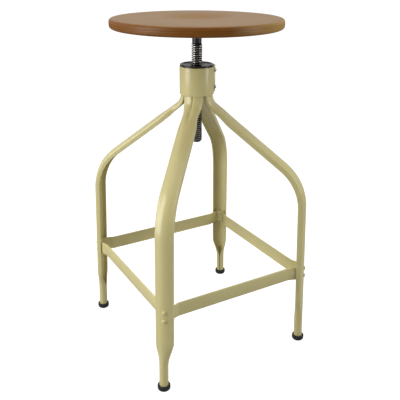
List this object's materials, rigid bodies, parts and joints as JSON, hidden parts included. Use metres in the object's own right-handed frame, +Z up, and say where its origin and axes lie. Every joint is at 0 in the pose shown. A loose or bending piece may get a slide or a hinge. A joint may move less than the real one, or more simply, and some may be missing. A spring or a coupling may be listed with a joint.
{
  "type": "adjustable swivel stool",
  "caption": "Swivel stool with a round plywood seat on a screw spindle, cream pressed-steel legs joined by a clamped collar, square stretchers and black foot caps.",
  "frame": {"origin": "on the floor, at the centre of the square of the four feet", "axes": "+Z up along the spindle, the legs on the diagonals of X and Y, the collar's clamping ears towards +X"},
  "size_m": [0.3452, 0.3452, 0.651],
  "materials": {
    "cream_paint": "satin cream enamel on pressed steel sheet",
    "plywood": "satin clear lacquer on warm brown plywood, with the plies showing at the edge",
    "black_steel": "blackened, lightly oiled steel",
    "black_plastic": "black moulded plastic",
    "black_rubber": "black rubber",
    "zinc_steel": "zinc-plated steel fasteners"
  },
  "bodies": {
    "frame": {"clamp_collar": "cream_paint", "spindle_hub": "black_steel", "top_cap": "black_plastic", "clamp_bolt_1": "zinc_steel", "clamp_bolt_2": "zinc_steel", "clamp_nut_1": "zinc_steel", "clamp_nut_2": "zinc_steel", "leg_1": "cream_paint", "foot_cap_1": "black_rubber", "rivet_1_lower": "cream_paint", "rivet_1_upper": "cream_paint", "stretcher_1": "cream_paint", "leg_2": "cream_paint", "foot_cap_2": "black_rubber", "rivet_2_lower": "cream_paint", "rivet_2_upper": "cream_paint", "stretcher_2": "cream_paint", "leg_3": "cream_paint", "foot_cap_3": "black_rubber", "rivet_3_lower": "cream_paint", "rivet_3_upper": "cream_paint", "stretcher_3": "cream_paint", "leg_4": "cream_paint", "foot_cap_4": "black_rubber", "rivet_4_lower": "cream_paint", "rivet_4_upper": "cream_paint", "stretcher_4": "cream_paint"},
    "lift": {"spindle_bush": "black_steel"},
    "seat_and_spindle": {"seat": "plywood", "seat_plate": "black_steel", "spindle": "black_steel", "seat_screw_1": "zinc_steel", "seat_screw_2": "zinc_steel", "seat_screw_3": "zinc_steel", "seat_screw_4": "zinc_steel"}
  },
  "joints": [
    {"name": "seat_lift", "type": "slide", "parent": "frame", "child": "lift", "axis": [0, 0, 1], "range_m": [-0.0361, 0.0961]},
    {"name": "seat_turn", "type": "hinge", "parent": "lift", "child": "seat_and_spindle", "pos_m": [0, 0, 0.6], "axis": [0, 0, 1], "range_deg": [-3240, 8640]}
  ],
  "couplings": [
    {"joint": "seat_lift", "follows": "seat_turn", "m_per_rad": 0.00063662}
  ]
}
